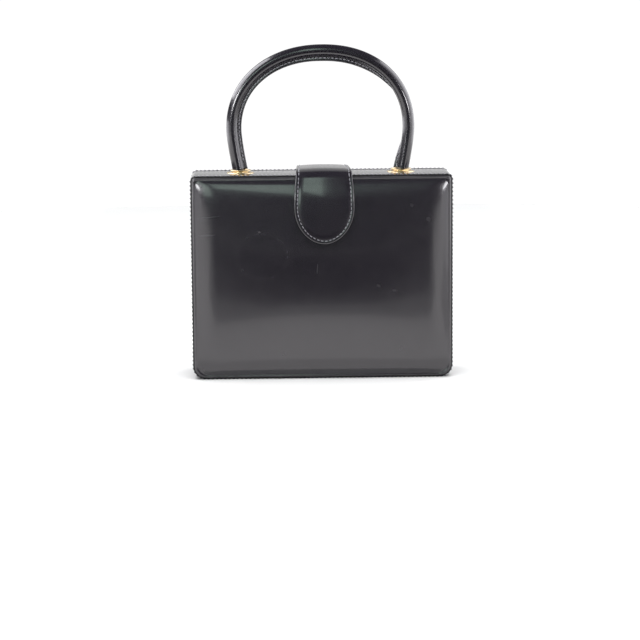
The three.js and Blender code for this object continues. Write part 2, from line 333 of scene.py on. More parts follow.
def rounded_loop(half_x, half_z, top, base, steps=OUTLINE_STEPS):
    """The bag's outline round the origin as points (x, z), with its outward normals."""
    long_steps, short_steps, corner_steps = steps
    points, normals = [], []
    corners = [(1, 1, top), (-1, 1, top), (-1, -1, base), (1, -1, base)]
    for index, (sx, sz, radius) in enumerate(corners):
        centre = np.array([sx * (half_x - radius), sz * (half_z - radius)])
        for step in range(corner_steps + 1):
            angle = (index + step / corner_steps) * math.pi / 2
            normal = np.array([math.cos(angle), math.sin(angle)])
            points.append(centre + radius * normal)
            normals.append(normal)
        nx, nz, radius = corners[(index + 1) % 4]
        to = np.array([nx * (half_x - radius), nz * (half_z - radius)]) + radius * normal
        steps_here = short_steps if index % 2 else long_steps
        start = points[-1]
        for step in range(1, steps_here):
            points.append(start + (to - start) * step / steps_here)
            normals.append(normal)
    return np.array(points), np.array(normals)


def even_loop(points, normals, spacing):
    """The same closed loop with evenly spaced points, and the distance along it."""
    closed, facing = (np.vstack([rows, rows[:1]]) for rows in (points, normals))
    along = distances(closed)
    count = round(along[-1] / spacing)
    places = np.arange(count) * along[-1] / count
    return between(places, along, closed), unit(between(places, along, facing)), places, along[-1]


def tubes(paths, radius):
    """Points and faces of many short round threads with tapered ends, one for each path."""
    points, faces = [], []
    angles = np.arange(THREAD_SIDES) * 2 * math.pi / THREAD_SIDES
    for path in paths:
        path = np.asarray(path, float)
        along = unit(np.gradient(path, axis=0))
        lift = unit(np.cross(along, np.cross(ASIDE, along)))
        across = np.cross(along, lift)
        taper = np.ones(len(path))
        taper[[0, -1]] = THREAD_END
        rings = [
            path[place] + radius * taper[place] * (
                np.cos(angles)[:, None] * lift[place] + np.sin(angles)[:, None] * across[place])
            for place in range(len(path))]
        some_points, some_faces = skin(rings)
        start = sum(len(group) for group in points)
        points.append(some_points)
        faces += [tuple(start + corner for corner in face) for face in some_faces]
    return np.vstack(points), faces


# Materials

def new_material(name):
    """An empty node material and its tree."""
    material = bpy.data.materials.new(name)
    material.use_nodes = True
    material.node_tree.nodes.clear()
    return material, material.node_tree


def add_node(tree, kind, inputs=None, **values):
    """Adds a shader node, sets its properties, and sets or links its inputs by name or number.

    An input that is a node takes that node's first output.
    """
    made = tree.nodes.new("ShaderNode" + kind)
    for key, value in values.items():
        setattr(made, key, value)
    for key, value in (inputs or {}).items():
        if isinstance(value, bpy.types.Node):
            value = value.outputs[0]
        if isinstance(value, bpy.types.NodeSocket):
            tree.links.new(value, made.inputs[key])
        else:
            made.inputs[key].default_value = value
    return made


def patterned_material(name):
    """An empty node material, its tree and the place on the object that its patterns follow."""
    material, tree = new_material(name)
    return material, tree, add_node(tree, "TexCoord").outputs["Object"]


def finished(material, shader):
    """The material with its shader on its output."""
    add_node(material.node_tree, "OutputMaterial", {"Surface": shader})
    return material


def wear_mask(tree, place, marks):
    """A mask of rubbed marks on the front, each an ellipse or a hollow ring."""
    total = 0.0
    for mark in marks:
        local = add_node(tree, "Mapping", {
            "Vector": place,
            "Location": (mark["x"] * MM, 0, mark["z"] * MM),
            "Rotation": (0, math.radians(mark["turn"]), 0),
            "Scale": (mark["long"] * MM, 1000, mark["wide"] * MM)}, vector_type="TEXTURE")
        reach = add_node(tree, "VectorMath", {0: local}, operation="LENGTH")
        mask = add_node(tree, "MapRange", {
            "Value": reach.outputs["Value"], "From Min": 1.15, "From Max": 0.75,
            "To Max": mark["strength"]})
        if mark["hollow"]:
            inner = add_node(tree, "MapRange", {
                "Value": reach.outputs["Value"], "From Min": mark["hollow"] - 0.12,
                "From Max": mark["hollow"], "To Max": 1})
            mask = add_node(tree, "Math", {0: mask, 1: inner}, operation="MULTIPLY")
        total = add_node(tree, "Math", {0: mask, 1: total}, operation="MAXIMUM")
    return total


def box_calf(name, roughness, wave_height, marks=()):
    """Box calf: chrome-tanned calf, boarded, dyed black and glazed under pressure.

    To the eye it is nearly black, with a soft mirror of the room that breaks up in a fine grain,
    slow waves where the hide lies over board, and greyer rubbed marks on the edges.
    """
    look = settings()
    material, tree, place = patterned_material(name)
    mottle, smear, wave = (
        add_node(tree, "TexNoise", {
            "Vector": place, "Scale": 1 / (width * MM), "Detail": detail, "Roughness": rough})
        for width, detail, rough in ((22, 4, 0.6), (12, 2, 0.5), (38, 1, 0.5)))
    grain = add_node(tree, "TexVoronoi", {
        "Vector": place, "Scale": 1 / look.sizes.grain_width, "Randomness": 0.9})

    # Hairline scratches are drawn about 0.15 mm wide, coarser than real, so that some show.
    drawn_out = add_node(tree, "Mapping", {
        "Vector": place, "Rotation": (0, math.radians(24), 0), "Scale": (0.12, 0.4, 1)})
    hair = add_node(tree, "TexNoise", {
        "Vector": drawn_out, "Scale": 1 / (1.1 * MM), "Detail": 2})
    scratches = add_node(tree, "MapRange", {
        "Value": hair, "From Min": 0.76, "From Max": 0.82, "To Max": 0.05})
    rubbed_edge = add_node(tree, "Attribute", attribute_name="rub").outputs["Fac"]
    edge_wear = add_node(tree, "Math", {0: rubbed_edge, 1: smear}, operation="MULTIPLY")
    wear = add_node(tree, "Math", {0: scratches, 1: edge_wear}, operation="MAXIMUM")
    if marks:
        rubbed = wear_mask(tree, place, marks)
        wear = add_node(tree, "Math", {0: wear, 1: rubbed}, operation="MAXIMUM")

    dark = add_node(tree, "MapRange", {
        "Value": mottle, "From Min": 0.3, "From Max": 0.7, "To Max": 0.05})
    cover = add_node(tree, "Math", {0: dark, 1: wear}, operation="ADD")
    colour = add_node(tree, "Mix", {
        0: cover, 6: look.colours.calf, 7: look.colours.scuffed_calf},
        data_type="RGBA", clamp_factor=True).outputs[2]
    uneven = add_node(tree, "MapRange", {
        "Value": smear, "From Min": 0.3, "From Max": 0.7,
        "To Min": roughness - 0.015, "To Max": roughness + 0.02})
    dulled = add_node(tree, "Math", {0: uneven, 1: wear}, operation="ADD")

    slow = add_node(tree, "Bump", {
        "Height": wave, "Strength": 1.0, "Distance": wave_height * MM})
    fine = add_node(tree, "Bump", {
        "Height": grain, "Strength": 0.35, "Distance": 0.02 * MM, "Normal": slow})
    return finished(material, add_node(tree, "BsdfPrincipled", {
        "Base Color": colour, "Roughness": dulled, "Normal": fine, "IOR": 1.5,
        "Coat Weight": 0.45, "Coat Roughness": 0.09}))


def inked_edge():
    """Cut calf edges, bevelled, inked black and burnished with wax.

    To the eye they are a dull, deep black line, smoother than the cut but with no mirror in it.
    """
    look = settings()
    material, tree, place = patterned_material("inked_burnished_edge")
    fibre = add_node(tree, "TexNoise", {"Vector": place, "Scale": 1 / (0.8 * MM), "Detail": 3})
    sheen = add_node(tree, "MapRange", {
        "Value": fibre, "From Min": 0.3, "From Max": 0.7, "To Min": 0.42, "To Max": 0.55})
    soft = add_node(tree, "Bump", {"Height": fibre, "Strength": 0.3, "Distance": 0.05 * MM})
    return finished(material, add_node(tree, "BsdfPrincipled", {
        "Base Color": look.colours.ink, "Roughness": sheen, "Normal": soft,
        "Specular IOR Level": 0.3}))


def waxed_thread():
    """Linen thread, spun in plies and drawn through wax, which leaves a dull shine. Its pale grey
    is painted sheen: the thread itself is dark, and the grey stands in for the light that its wax
    catches.

    To the eye it is a row of pale dashes against the calf, each a little uneven along its plies.
    """
    look = settings()
    material, tree, place = patterned_material("waxed_thread_painted_sheen")
    ply = add_node(tree, "TexNoise", {"Vector": place, "Scale": 1 / (0.5 * MM), "Detail": 2})
    lighter = add_node(tree, "MapRange", {
        "Value": ply, "From Min": 0.35, "From Max": 0.7, "To Max": 0.35})
    # The thread colour mixed here is painted sheen over a dark thread; the ply noise only varies
    # it.
    colour = add_node(tree, "Mix", {
        0: lighter, 6: look.colours.thread, 7: look.colours.scuffed_calf},
        data_type="RGBA").outputs[2]
    twist = add_node(tree, "Bump", {"Height": ply, "Strength": 0.6, "Distance": 0.1 * MM})
    return finished(material, add_node(tree, "BsdfPrincipled", {
        "Base Color": colour, "Roughness": 0.45, "Normal": twist, "Sheen Weight": 0.2}))


def gilt_plating():
    """Brass, turned, polished and gilt: warm yellow, mirror bright, with faint rubbed streaks."""
    look = settings()
    material, tree, place = patterned_material("gilt_polished_brass")
    turning = add_node(tree, "Mapping", {"Vector": place, "Scale": (1, 1, 14)})
    streak = add_node(tree, "TexNoise", {
        "Vector": turning, "Scale": 1 / (2.5 * MM), "Detail": 3})
    rubbed = add_node(tree, "MapRange", {
        "Value": streak, "From Min": 0.3, "From Max": 0.75, "To Min": 0.24, "To Max": 0.36})
    fine = add_node(tree, "Bump", {"Height": streak, "Strength": 0.2, "Distance": 0.02 * MM})
    return finished(material, add_node(tree, "BsdfPrincipled", {
        "Base Color": look.colours.gilt, "Metallic": 1.0, "Roughness": rubbed,
        "Normal": fine}))


def the_thread():
    """The bag's one thread material, made when it is first used."""
    return bpy.data.materials.get("waxed_thread_painted_sheen") or waxed_thread()


# Panels

# Steps of the edge curve, for the rings and for reading a height.
EDGE_STEPS = 3
HEIGHT_STEPS = 4
# Rings on the panel's flat back, as shares of its outline, and over its face.
BACK_SHARES = (0.3, 0.6, 0.85, 0.97)
FACE_RINGS = 26
# The bead is rubbed most at one inset, from one height upwards.
RUB = 0.5
RUB_INSET = 0.5
RUB_HEIGHT = 0.6


def crown_share(x, z):
    """How much of the crown a panel has at a place, one in the middle and none at its outline."""
    return (1 - (x / PANEL_HALF_X) ** 2) * (1 - (z / PANEL_HALF_Z) ** 2)


def panel_height(x, z, inset):
    """Height of a panel's face over its foot, in millimetres."""
    curve = smooth_rows(PANEL_EDGE, HEIGHT_STEPS)[HEIGHT_STEPS:]
    return np.interp(inset, curve[:, 0], curve[:, 1]) + PANEL_CROWN * crown_share(x, z)


def panel_loop(inset, scale=1.0):
    """One ring of a panel, its corners growing rounder inwards."""
    softer = CORNER_SOFTNESS * (1 - math.exp(-max(inset - PANEL_MARGIN, 0) / CORNER_REACH))
    growth = CORNER_SPREAD * inset - PANEL_MARGIN + softer
    points, _ = rounded_loop(
        PANEL_HALF_X - inset, PANEL_HALF_Z - inset, TOP_CORNER + growth, BASE_CORNER + growth)
    return points * scale


def panel_rings():
    """Rings from the panel's flat back round its edge to the middle of its face, with their rub."""
    rings, rub = [], []

    def ring(loop, rise, worn=0.0):
        rings.append(np.column_stack([loop[:, 0], -rise, loop[:, 1]]))
        rub.append(worn)

    for share in BACK_SHARES:
        loop = panel_loop(0, share)
        ring(loop, 0 * loop[:, 0])
    for inset, height in smooth_rows(PANEL_EDGE, EDGE_STEPS):
        loop = panel_loop(inset)
        worn = max(0.0, RUB * (1 - abs(inset - RUB_INSET))) if height > RUB_HEIGHT else 0.0
        ring(loop, height + PANEL_CROWN * crown_share(*loop.T), worn)
    shoulder = PANEL_EDGE[-1]
    for share in np.linspace(1, 0, FACE_RINGS)[1:-1]:
        loop = panel_loop(shoulder["inset"], share)
        ring(loop, shoulder["height"] + PANEL_CROWN * crown_share(*loop.T))
    return rings, rub


def make_panel(name, node, material, turn):
    """One domed panel, at the front or turned round to the back."""
    rings, rub = panel_rings()
    points, faces = skin(rings)
    points = points + [0, -PANEL_BASE, MIDDLE]
    if turn:
        points = points * [-1, -1, 1]
    worn = np.concatenate([np.repeat(rub, len(rings[0])), [0.0, 0.0]])
    piece(name, (points, faces), material, [node], worn)


class BagPanels(bpy.types.Operator):
    """Builds the two domed panels"""
    bl_idname = "box_bag.panels"
    bl_label = "Domed panels"

    def execute(self, context):
        front = box_calf("box_calf_front", *PANEL_CALF, FRONT_MARKS)
        back = box_calf("box_calf_back", *PANEL_CALF)
        make_panel("front_cover", "front_panel", front, False)
        make_panel("back_cover", "back_panel", back, True)
        return {"FINISHED"}


# Frame: the two rims, the gusset and the whip stitches

# The rim's band, the rounding of its edge and how deep the whip stitches pinch it.
RIM_BAND = 9.5
RIM_EDGE_ROUND = 0.95
RIM_SECTION_STEPS = (6, 4, 5)
RIM_SCALLOP = 0.45
RIM_SCALLOP_REACH = 2
# The gusset's two faces under the body's outline, its crown, and the puckers at its edges.
GUSSET_OUTSIDE = 0.4
GUSSET_INSIDE = 3.4
GUSSET_CROWN = 0.3
GUSSET_POINTS = 41
INSIDE_POINTS = 9
PUCKER = 0.32
PUCKER_REACH = 16.0
FRAME_STEPS = (80, 60, 16)
RIM_STEPS_PER_STITCH = 8
GUSSET_STEPS_PER_STITCH = 6
# A whip stitch from the rim's face over its edge to the gusset: how far out of the outline it is,
# and how deep past the rim's face, middle or back. It leans by this much each way along the rim.
WHIP_ROWS = table(
    "out start deep",
    (-0.45, "face", 0.2), (-0.15, "face", 0.25), (-0.02, "face", 0.8), (0.0, "middle", 0.0),
    (-0.05, "back", -0.3), (-0.18, "back", 0.7), (-0.18, "back", 1.7), (-0.6, "back", 2.6))
WHIP_LEAN = 0.75
SEAM_SPACING = 0.25


def rim_section(near, far):
    """The rim's section as (outward, depth) points, a band with rounded edges."""
    points, _ = rounded_loop(
        RIM_BAND / 2, (far - near) / 2, RIM_EDGE_ROUND, RIM_EDGE_ROUND, RIM_SECTION_STEPS)
    return points + [-RIM_BAND / 2, (far + near) / 2]


def body_outline():
    """The body's outline with its outward normals."""
    return rounded_loop(BODY_WIDTH / 2, MIDDLE, TOP_CORNER, BASE_CORNER, FRAME_STEPS)


def carried_round(section, spacing, scallops, pitch):
    """Carries a section round the body's outline, rippled by the stitches where it has scallops."""
    loop, normals, places, _ = even_loop(*body_outline(), spacing)
    ripple = np.cos(2 * math.pi * places / pitch)
    rings = []
    for (out, deep), scallop in zip(section, scallops):
        moved = loop + normals * (out + scallop * (ripple - 1) / 2)[:, None]
        rings.append(np.column_stack([
            moved[:, 0], np.full(len(loop), deep), moved[:, 1] + MIDDLE]))
    return skin(rings, round_about=True)


def gusset_section():
    """The gusset's section: crowned outside, flat inside, with its pucker at each point."""
    near, far = GUSSET_LOW[1], GUSSET_HIGH[1]
    deep = np.linspace(near, far, GUSSET_POINTS)
    crown = GUSSET_CROWN * (1 - (deep / far) ** 2)
    outside = np.column_stack([crown - GUSSET_OUTSIDE, deep])
    puckers = PUCKER * np.clip(1 - (far - np.abs(deep)) / PUCKER_REACH, 0, 1)
    inside = np.column_stack([
        np.full(INSIDE_POINTS, -GUSSET_INSIDE), np.linspace(far, near, INSIDE_POINTS)])
    return np.vstack([outside, inside]), np.concatenate([puckers, np.zeros(INSIDE_POINTS)])


def whip_pitch():
    """The pitch that fits a whole number of whip stitches round the body, and that number."""
    length = even_loop(*body_outline(), 1.0)[-1]
    count = round(length / (settings().sizes.whip_pitch / MM))
    return length / count, count


def whip_stitches(face, back):
    """Slanted threads over a rim's edge, from its face to the gusset behind it."""
    pitch, count = whip_pitch()
    loop, normals, _, length = even_loop(*body_outline(), SEAM_SPACING)
    side = 1 if back > face else -1
    radius = settings().sizes.whip_radius / MM
    starts = {"face": face, "middle": (face + back) / 2, "back": back}
    leans = np.linspace(-WHIP_LEAN, WHIP_LEAN, len(WHIP_ROWS))
    paths = []
    for stitch in range(count):
        path = []
        for row, lean in zip(WHIP_ROWS, leans):
            place = (stitch * pitch + lean) % length
            index = int(round(place / length * len(loop))) % len(loop)
            x, z = loop[index] + normals[index] * row["out"]
            deep = starts[row["start"]] + row["deep"] * side
            path.append((x, deep, max(z + MIDDLE, radius)))
        paths.append(path)
    return tubes(paths, radius)


class BagFrame(bpy.types.Operator):
    """Builds the rims, the gusset between them and the whip stitches round their edges"""
    bl_idname = "box_bag.frame"
    bl_label = "Rims and gusset"

    def execute(self, context):
        calf = box_calf("box_calf_frame", *FRAME_CALF)
        edge = inked_edge()
        pitch, _ = whip_pitch()
        for name, node in (("front_flange", "front_rim"), ("back_flange", "back_rim")):
            near, far = (corner[1] for corner in node_box(node))
            section = rim_section(near, far)
            scallops = np.where(section[:, 0] > -RIM_SCALLOP_REACH, RIM_SCALLOP, 0)
            rim = carried_round(section, pitch / RIM_STEPS_PER_STITCH, scallops, pitch)
            piece(name, rim, edge, [node])
            sides = (near, far) if node == "front_rim" else (far, near)
            piece(name + "_stitches", whip_stitches(*sides), the_thread())
        section, puckers = gusset_section()
        wall = carried_round(section, pitch / GUSSET_STEPS_PER_STITCH, puckers, pitch)
        piece("gusset_wall", wall, calf, ["gusset"])
        return {"FINISHED"}


# Closure tab

# Half widths of the strap: at its round end, where it bends over the front, and down the back.
TAB_END = 27.4
TAB_NECK = 25.8
TAB_BACK = 23.5
TAB_END_LENGTH = 33.0
TAB_END_POWER = 1.93
TAB_BACK_CORNER = 8.0
TAB_SHIFT = 2.1
# The arch over the top: its rise over the body, its drop to the faces and its squareness.
TAB_RISE = 2.0
TAB_BEND_DROP = 6.5
TAB_ARCH_POWER = 3.4
TAB_BEND_START = 2
STRAP_SMOOTHING = 16
STRAP_STEP = 1.5
TAB_THICKNESS = 3.0
TAB_STANDOFF = 1.7
TAB_DROP = 62.3
TAB_BACK_DROP = 37.0
# Points along the outline's round end, flare, top, back edge, back corner and back end.
TAB_POINTS = (60, 24, 40, 20, 12, 10)
TAB_EASING = 4
# Rings under the strap and over its padded face, and the pad's height.
UNDER_SHARES = (1.0, 0.6, 0.3)
PAD_RINGS = 10
TAB_PAD = 0.5
TAB_RUB_INSET = 0.2
# The seam, and a saddle stitch's share of its pitch, thickness, and heights from end to end.
TAB_STITCH_INSET = 2.8
TAB_STITCH_SHARE = 0.74
TAB_THREAD = 0.9
TAB_STITCH_HEIGHT = 1.28
TAB_STITCH_LIFTS = [-0.25, 0.15, 0.22, 0.15, -0.25]


def tab_half_path(drop):
    """Underside of half the strap, from the top's middle to its end, as (distance out, height)."""
    bend_end = BODY_HEIGHT + TAB_RISE - TAB_BEND_DROP

    def stand(z):
        rise = panel_height(0, z - MIDDLE, PANEL_HALF_Z - abs(z - MIDDLE))
        return PANEL_BASE + rise + TAB_STANDOFF

    widest = stand(bend_end)
    path = [(widest * math.sin(angle) ** (2 / TAB_ARCH_POWER),
             bend_end + TAB_BEND_DROP * math.cos(angle) ** (2 / TAB_ARCH_POWER))
            for angle in quarter(40)]
    path += [(max(widest, stand(z)), z)
             for z in np.arange(bend_end - STRAP_STEP, BODY_HEIGHT - drop - 1.0, -STRAP_STEP)]
    return np.array(path)


class Strap:
    """The strap's middle surface, by the distance along it from the top, front negative."""

    def __init__(self):
        front, back = tab_half_path(TAB_DROP), tab_half_path(TAB_BACK_DROP)
        top = len(front) - 1
        self.path = smoothed(np.vstack([(front * [-1, 1])[::-1], back[1:]]), STRAP_SMOOTHING)
        steps = distances(self.path)
        self.along = steps - steps[top]
        tangent = unit(np.gradient(self.path, axis=0))
        self.normal = np.column_stack([-tangent[:, 1], tangent[:, 0]])
        ahead, behind = -self.along[:top + 1], self.along[top:]
        bend = TAB_BEND_START - BODY_HEIGHT
        self.front = -np.interp(BODY_HEIGHT - TAB_DROP, front[::-1, 1], ahead)
        self.back = np.interp(TAB_BACK_DROP - BODY_HEIGHT, -back[:, 1], behind)
        self.front_bend = -np.interp(bend, -front[:, 1], ahead[::-1])
        self.back_bend = np.interp(bend, -back[:, 1], behind)

    def place(self, s, w, height):
        """Points in millimetres for places along, across and above the middle surface."""
        out = np.reshape(TAB_THICKNESS / 2 + height, (-1, 1))
        spots = between(s, self.along, self.path) + out * between(s, self.along, self.normal)
        return np.column_stack([w + TAB_SHIFT, spots])

    def outline(self):
        """The strap's flat outline as (along, across) points with their outward normals."""
        end, flare, over, edge, corner, last = TAB_POINTS
        centre = self.front + TAB_END_LENGTH
        back_turn, side_turn = self.back - TAB_BACK_CORNER, TAB_BACK - TAB_BACK_CORNER
        side = [(centre - TAB_END_LENGTH * math.cos(a) ** (2 / TAB_END_POWER),
                 TAB_END * math.sin(a) ** (2 / TAB_END_POWER)) for a in quarter(end)]
        wide, neck = np.array([centre, TAB_END]), np.array([self.front_bend, TAB_NECK])
        ease = np.array([(centre + self.front_bend) / 2, TAB_END])
        side += [(1 - t) ** 2 * wide + 2 * t * (1 - t) * ease + t ** 2 * neck
                 for t in np.linspace(0, 1, flare)[1:]]
        back_neck = np.array([self.back_bend, TAB_BACK])
        side += [neck + (back_neck - neck) * t for t in np.linspace(0, 1, over)[1:]]
        side += [(s, TAB_BACK) for s in np.linspace(self.back_bend, back_turn, edge)[1:]]
        side += [(back_turn + TAB_BACK_CORNER * math.sin(a),
                  side_turn + TAB_BACK_CORNER * math.cos(a)) for a in quarter(corner)[1:]]
        side += [(self.back, w) for w in np.linspace(side_turn, 0, last)[1:]]
        side = np.array(side)
        loop = np.vstack([side, (side * [1, -1])[-2:0:-1]])
        loop = even_loop(loop, loop, 0.8)[0]
        for _ in range(TAB_EASING):
            loop = (np.roll(loop, 1, axis=0) + 2 * loop + np.roll(loop, -1, axis=0)) / 4
        tangent = unit(np.roll(loop, -1, axis=0) - np.roll(loop, 1, axis=0))
        return even_loop(loop, np.column_stack([-tangent[:, 1], tangent[:, 0]]), 1.0)[:2]


class BagTab(bpy.types.Operator):
    """Builds the closure tab with its rounded edge, its stitched groove and its stitches"""
    bl_idname = "box_bag.tab"
    bl_label = "Closure tab"

    def execute(self, context):
        strap = Strap()
        loop, normals = strap.outline()
        middle = np.clip(
            loop[:, 0], strap.front + TAB_END_LENGTH, strap.back - TAB_BACK_CORNER)
        spine = np.column_stack([middle, 0 * middle])
        profile = smooth_rows(TAB_EDGE, EDGE_STEPS)
        inner = loop - normals * TAB_EDGE[-1]["inset"]
        rings, rub = [], []

        def ring(flat, height, worn=0.0):
            rings.append(strap.place(flat[:, 0], flat[:, 1], height))
            rub.append(worn)

        for share in UNDER_SHARES:
            ring(inner + (spine - inner) * share, profile[0, 1])
        for inset, height in profile:
            worn = max(0.0, RUB - abs(inset - TAB_RUB_INSET)) if height > 0 else 0.0
            ring(loop - normals * inset, height, worn)
        for share in np.linspace(0, 1, PAD_RINGS)[1:]:
            pad = TAB_PAD * math.sin(share * math.pi / 2)
            ring(inner + (spine - inner) * share, profile[-1, 1] + pad)
        worn = np.repeat(rub, len(rings[0]))
        calf = box_calf("box_calf_tab", *TAB_CALF)
        form = skin(rings, ends=False)
        piece("tab_strap", form, calf, ["closure_tab"], worn)

        seam, _, places, length = even_loop(
            loop - normals * TAB_STITCH_INSET, normals, SEAM_SPACING)
        count = round(length / (settings().sizes.saddle_pitch / MM))
        heights = TAB_STITCH_HEIGHT + np.array(TAB_STITCH_LIFTS)
        cover = np.linspace(0, TAB_STITCH_SHARE, len(heights))
        paths = []
        for stitch in range(count):
            spots = (stitch / count * length + cover * length / count) % length
            paths.append(strap.place(*between(spots, places, seam).T, heights))
        stitches = tubes(paths, settings().sizes.thread_radius / MM * TAB_THREAD)
        piece("tab_stitches", stitches, the_thread())
        return {"FINISHED"}


# Handle

# The roll, the half span of its legs, and the arch between them, which leans to one side.
HANDLE_RADIUS = 5.5
HANDLE_SPAN_HALF = HANDLE_HIGH[0] - HANDLE_RADIUS
HANDLE_TOP = HANDLE_HIGH[2] - HANDLE_RADIUS
HANDLE_LEG = 40.4
HANDLE_LEG_INSET = 6.2
HANDLE_LEG_CURVE = 1.4
HANDLE_ARCH_POWER = 2.15
HANDLE_LEAN = 2.0
LEG_STEP = 1.5
ARCH_POINTS = 120
HANDLE_RINGS = 260
HANDLE_SMOOTHING = 6
ROLL_POINTS = 20

# The seam fin stays inside the arch, and turns towards the back on the way down its right leg:
# shares of the greatest turn at shares of the handle's length.
HANDLE_TWIST = math.radians(80)
HANDLE_TURN = table(
    "along turn",
    (0, 0), (0.6, 0), (0.72, 0.55), (0.8, 1), (0.9, 0.95), (0.97, 0.35), (1, 0.2))

# Half of the handle's section from the back of the roll to the tip of its seam fin, as places
# towards the fin and across it, and how deep the fin is along the handle.
FIN_ROWS = table(
    "inward across",
    (5.02, 2.05), (5.30, 1.50), (5.90, 1.30), (6.90, 1.25), (7.80, 1.42),
    (8.80, 1.48), (9.50, 1.18), (9.85, 0.70), (9.90, 0.28), (9.78, 0.00))
FIN_ROOT = FIN_ROWS[0]["inward"]
FIN_STEPS = 2
FIN_DEPTHS = [0.72, 0.82, 1.0, 0.86, 0.74]

# The stitches on both faces of the fin, as on the tab.
STITCH_INWARD = 6.85
STITCH_ACROSS = 1.32
HANDLE_STITCH_SHARE = 0.86
HANDLE_THREAD = 1.25
HANDLE_STITCH_LIFTS = [-0.3, 0.10, 0.20, 0.10, -0.3]


def handle_line():
    """Centre line of the handle from left to right, as points (x, z)."""
    leg_top = BODY_HEIGHT + HANDLE_LEG
    arch = HANDLE_TOP - leg_top
    line = []
    for z in np.arange(HANDLE_LOW[2], leg_top, LEG_STEP):
        down = (leg_top - z) / HANDLE_LEG
        line.append((-HANDLE_SPAN_HALF + HANDLE_LEG_INSET * down ** HANDLE_LEG_CURVE, z))
    for angle in quarter(ARCH_POINTS):
        x = HANDLE_SPAN_HALF * math.cos(angle) ** (2 / HANDLE_ARCH_POWER)
        line.append((-x, leg_top + arch * math.sin(angle) ** (2 / HANDLE_ARCH_POWER)))
    line = np.array(line)
    line = np.vstack([line, (line * [-1, 1])[-2::-1]])
    along = distances(line)
    line = between(np.linspace(0, along[-1], HANDLE_RINGS), along, line)
    line = smoothed(line, HANDLE_SMOOTHING)
    high = np.clip((line[:, 1] - leg_top) / arch, 0, 1)
    line[:, 0] += HANDLE_LEAN * high ** 2
    return line


def handle_frames(line):
    """Directions towards the seam fin and across it, at each point of the handle's line."""
    tangent = unit(np.gradient(line, axis=0))
    inward = np.column_stack([tangent[:, 1], 0 * tangent[:, 0], -tangent[:, 0]])
    share = np.linspace(0, 1, len(line))
    turn = np.interp(share, column(HANDLE_TURN, "along"), column(HANDLE_TURN, "turn"))
    turn = HANDLE_TWIST * turn[:, None]
    depth = np.array([[0.0, 1.0, 0.0]])
    fin = np.cos(turn) * inward + np.sin(turn) * depth
    across = -np.sin(turn) * inward + np.cos(turn) * depth
    return fin, across


class BagHandle(bpy.types.Operator):
    """Builds the rolled handle with its seam fin and the stitches on both faces of the fin"""
    bl_idname = "box_bag.handle"
    bl_label = "Handle"

    def execute(self, context):
        line = handle_line()
        fin, across = handle_frames(line)
        fin_curve = smooth_rows(FIN_ROWS, FIN_STEPS, ("inward", "across"))
        start = math.atan2(fin_curve[0, 1], fin_curve[0, 0])
        roll = [(HANDLE_RADIUS * math.cos(a), HANDLE_RADIUS * math.sin(a))
                for a in np.linspace(math.pi, start, ROLL_POINTS)[:-1]]
        half = np.vstack([roll, fin_curve])
        section = np.vstack([half, (half * [1, -1])[-2:0:-1]])
        centre = np.column_stack([line[:, 0], 0 * line[:, 0], line[:, 1]])
        share = np.linspace(0, 1, len(line))
        depth = np.interp(share, np.linspace(0, 1, len(FIN_DEPTHS)), FIN_DEPTHS)[:, None]
        beyond = np.maximum(section[:, :1] - FIN_ROOT, 0)
        rings = [spot + (section[:, :1] + beyond * (deep - 1)) * toward + section[:, 1:] * aside
                 for spot, deep, toward, aside in zip(centre, depth, fin, across)]
        calf = box_calf("box_calf_handle", *HANDLE_CALF)
        piece("handle_roll", skin(rings), calf, ["handle"])

        lifts = np.array(HANDLE_STITCH_LIFTS)[:, None]
        cover = np.linspace(0, HANDLE_STITCH_SHARE, len(lifts))
        inward = FIN_ROOT + (STITCH_INWARD - FIN_ROOT) * depth
        paths = []
        for side in (-1, 1):
            seam = centre + fin * inward + across * STITCH_ACROSS * side
            along = distances(seam)
            count = round(along[-1] / (settings().sizes.saddle_pitch / MM))
            for stitch in range(2, count - 1):
                spots = (stitch + cover) / count * along[-1]
                outward = between(spots, along, across * side)
                paths.append(between(spots, along, seam) + outward * lifts)
        stitches = tubes(paths, settings().sizes.thread_radius / MM * HANDLE_THREAD)
        piece("handle_stitches", stitches, the_thread())
        return {"FINISHED"}


# Gilt fittings

TURNED_STEPS = 3
TURNED_SIDES = 96
AXIS_GAP = 0.001
# The base plate stands a little prouder than its solid, and sinks a little into the gusset.
PLATE_PROUD = 0.3
PLATE_SINK = 0.1


def turned(profile, radius, centre, base, top):
    """A profile of shares turned on a vertical axis, between two heights."""
    x, y = centre
    angles = np.arange(TURNED_SIDES) * 2 * math.pi / TURNED_SIDES
    rings = []
    for share, up in smooth_rows(profile, TURNED_STEPS, ("radius", "height"))[1:-1]:
        out = max(share, AXIS_GAP) * radius
        rings.append(np.column_stack([
            x + out * np.cos(angles), y + out * np.sin(angles),
            np.full(TURNED_SIDES, base + up * (top - base))]))
    return skin(rings)


class BagFittings(bpy.types.Operator):
    """Builds the gilt ferrules and base plates that hold the handle, and finishes the snap"""
    bl_idname = "box_bag.fittings"
    bl_label = "Gilt fittings"

    def execute(self, context):
        gilt = gilt_plating()
        for side in ("left", "right"):
            low, high = node_box("ferrule_" + side)
            centre = (low[:2] + high[:2]) / 2
            ferrule = turned(
                FERRULE_PROFILE, (high[0] - low[0]) / 2, centre, low[2], high[2])
            piece("gilt_ferrule_" + side, ferrule, gilt, ["ferrule_" + side])
            low, high = node_box("base_plate_" + side)
            seat = GUSSET_HIGH[2] - PLATE_SINK
            plate = turned(
                PLATE_PROFILE, (high[0] - low[0]) / 2, centre, seat, high[2] + PLATE_PROUD)
            piece("gilt_plate_" + side, plate, gilt, ["base_plate_" + side])
        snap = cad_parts["tab_snap"]
        snap.data.materials.clear()
        snap.data.materials.append(gilt)
        return {"FINISHED"}


# Stage

